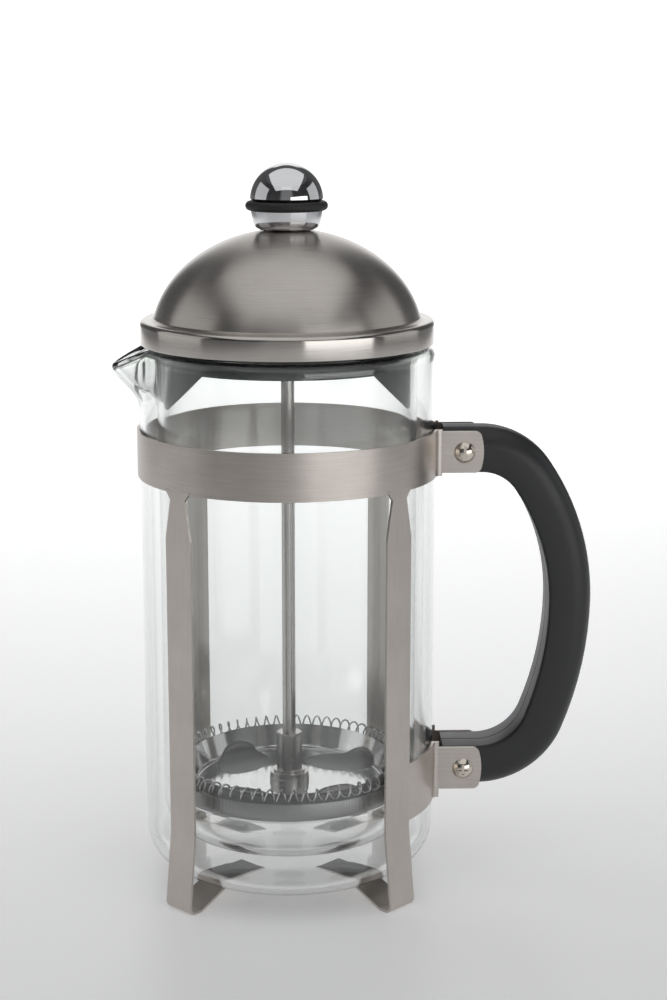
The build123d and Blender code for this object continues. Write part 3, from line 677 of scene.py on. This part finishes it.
ring_line = arc(ring_r, ring_z, cord_r, -180, 180, 28)
ring = lathe("knob_rubber_ring", ring_line, steps=128, sharp=60)
rubber, rubber_tree, rubber_shader = new_material("ring_rubber")
rubber_place = add_node(rubber_tree, "ShaderNodeTexCoord").outputs["Object"]
rubber_grain = add_node(rubber_tree, "ShaderNodeTexNoise", Scale=900.0, Detail=3.0)
rubber_tree.links.new(rubber_place, rubber_grain.inputs["Vector"])
rubber_tone = add_node(rubber_tree, "ShaderNodeMixRGB", Color1=(0.008, 0.008, 0.008, 1), Color2=(0.02, 0.02, 0.02, 1))
rubber_tree.links.new(rubber_grain.outputs["Fac"], rubber_tone.inputs["Fac"])
feed(rubber_tree, rubber_tone.outputs["Color"], rubber_shader, "Base Color")
rubber_rough = add_node(rubber_tree, "ShaderNodeMapRange", To_Min=0.45, To_Max=0.7)
rubber_tree.links.new(rubber_grain.outputs["Fac"], rubber_rough.inputs["Value"])
feed(rubber_tree, rubber_rough.outputs["Result"], rubber_shader, "Roughness")
ring.data.materials.append(rubber)
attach(ring, "plunger")
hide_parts("knob_ring")

# ---- filter -------------------------------------------------------------------------------
# A coil of fine spring wire runs round the edge of the spring plate and presses the woven mesh
# dish against the glass.
coil_low, coil_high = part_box("edge_spring")
wire_r = 0.36 * mm
coil_r = (coil_high.z - coil_low.z) / 2 - wire_r
coil_half_height = 2.3 * mm
coil_z = (coil_high.z + coil_low.z) / 2
coil_ring_r = coil_high.x - (coil_high.z - coil_low.z) / 2
coil_turns = 64
points_per_turn = 18

coil_line = bpy.data.curves.new("edge_coil", "CURVE")
coil_line.dimensions = "3D"
coil_line.bevel_depth = wire_r
coil_line.bevel_resolution = 1
wire = coil_line.splines.new("POLY")
wire.points.add(coil_turns * points_per_turn - 1)
for step, point in enumerate(wire.points):
    round_ring = 2 * pi * step / (coil_turns * points_per_turn)
    round_wire = 2 * pi * step / points_per_turn
    reach_r = coil_ring_r + coil_r * cos(round_wire)
    point.co = (reach_r * cos(round_ring), reach_r * sin(round_ring), coil_z + coil_half_height * sin(round_wire), 1)
wire.use_cyclic_u = True
coil = bpy.data.objects.new("edge_coil", coil_line)
scene.collection.objects.link(coil)
bpy.ops.object.select_all(action="DESELECT")
coil.select_set(True)
bpy.context.view_layer.objects.active = coil
bpy.ops.object.convert(target="MESH")
coil = bpy.context.object
bpy.ops.object.shade_smooth()
wire_steel = turned_metal("spring_wire", (0.5, 0.5, 0.49), (0.7, 0.7, 0.69), 0.2, 0.1, 0.1, 3000.0)
coil.data.materials.clear()
coil.data.materials.append(wire_steel)
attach(coil, "plunger")
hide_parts("edge_spring")

mesh_low, mesh_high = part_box("mesh_screen")
screen_r = mesh_high.x
screen_t = 0.4 * mm
screen_bend = 3.4 * mm
screen_z = mesh_low.z
screen_top = mesh_high.z
screen_hole_r = 2.0 * mm
screen_in_r = screen_r - screen_t
screen_bend_in = screen_bend - screen_t
screen_line = [(screen_hole_r, screen_z)]
screen_line += arc(screen_r - screen_bend, screen_z + screen_bend, screen_bend, -90, 0, 6)
screen_line += [(screen_r, screen_top - screen_t / 2)]
screen_line += arc(screen_r - screen_t / 2, screen_top - screen_t / 2, screen_t / 2, 0, 180, 4)
screen_line += arc(screen_in_r - screen_bend_in, screen_z + screen_bend, screen_bend_in, 0, -90, 5)
screen_line += [(screen_hole_r, screen_z + screen_t), (screen_hole_r, screen_z)]
screen = lathe("woven_screen", screen_line, steps=160, sharp=50)

woven, woven_tree, woven_shader = new_material("woven_mesh")
woven_place = add_node(woven_tree, "ShaderNodeTexCoord").outputs["Object"]
woven_axes = add_node(woven_tree, "ShaderNodeSeparateXYZ")
woven_tree.links.new(woven_place, woven_axes.inputs[0])
wire_waves = 2 * pi / (0.5 * mm)
waves = []
for axis in ("X", "Y", "Z"):
    phase = calculate(woven_tree, "MULTIPLY", woven_axes.outputs[axis], wire_waves)
    waves.append(calculate(woven_tree, "SINE", phase))
weave_flat = calculate(woven_tree, "MULTIPLY", waves[0], waves[1])
weave = calculate(woven_tree, "ADD", weave_flat, waves[2])
weave_share = add_node(woven_tree, "ShaderNodeMapRange", From_Min=-1.5, From_Max=1.5)
woven_tree.links.new(weave, weave_share.inputs["Value"])
woven_tone = add_node(woven_tree, "ShaderNodeMixRGB", Color1=(0.2, 0.2, 0.2, 1), Color2=(0.46, 0.46, 0.45, 1))
woven_tree.links.new(weave_share.outputs["Result"], woven_tone.inputs["Fac"])
feed(woven_tree, woven_tone.outputs["Color"], woven_shader, "Base Color")
woven_rough = add_node(woven_tree, "ShaderNodeMapRange", To_Min=0.5, To_Max=0.32)
woven_tree.links.new(weave_share.outputs["Result"], woven_rough.inputs["Value"])
feed(woven_tree, woven_rough.outputs["Result"], woven_shader, "Roughness")
woven_bump = add_node(woven_tree, "ShaderNodeBump", Strength=0.4, Distance=0.1 * mm)
woven_tree.links.new(weave_share.outputs["Result"], woven_bump.inputs["Height"])
feed(woven_tree, woven_bump.outputs["Normal"], woven_shader, "Normal")
woven_shader.inputs["Metallic"].default_value = 1.0
screen.data.materials.append(woven)
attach(screen, "plunger")
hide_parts("mesh_screen")
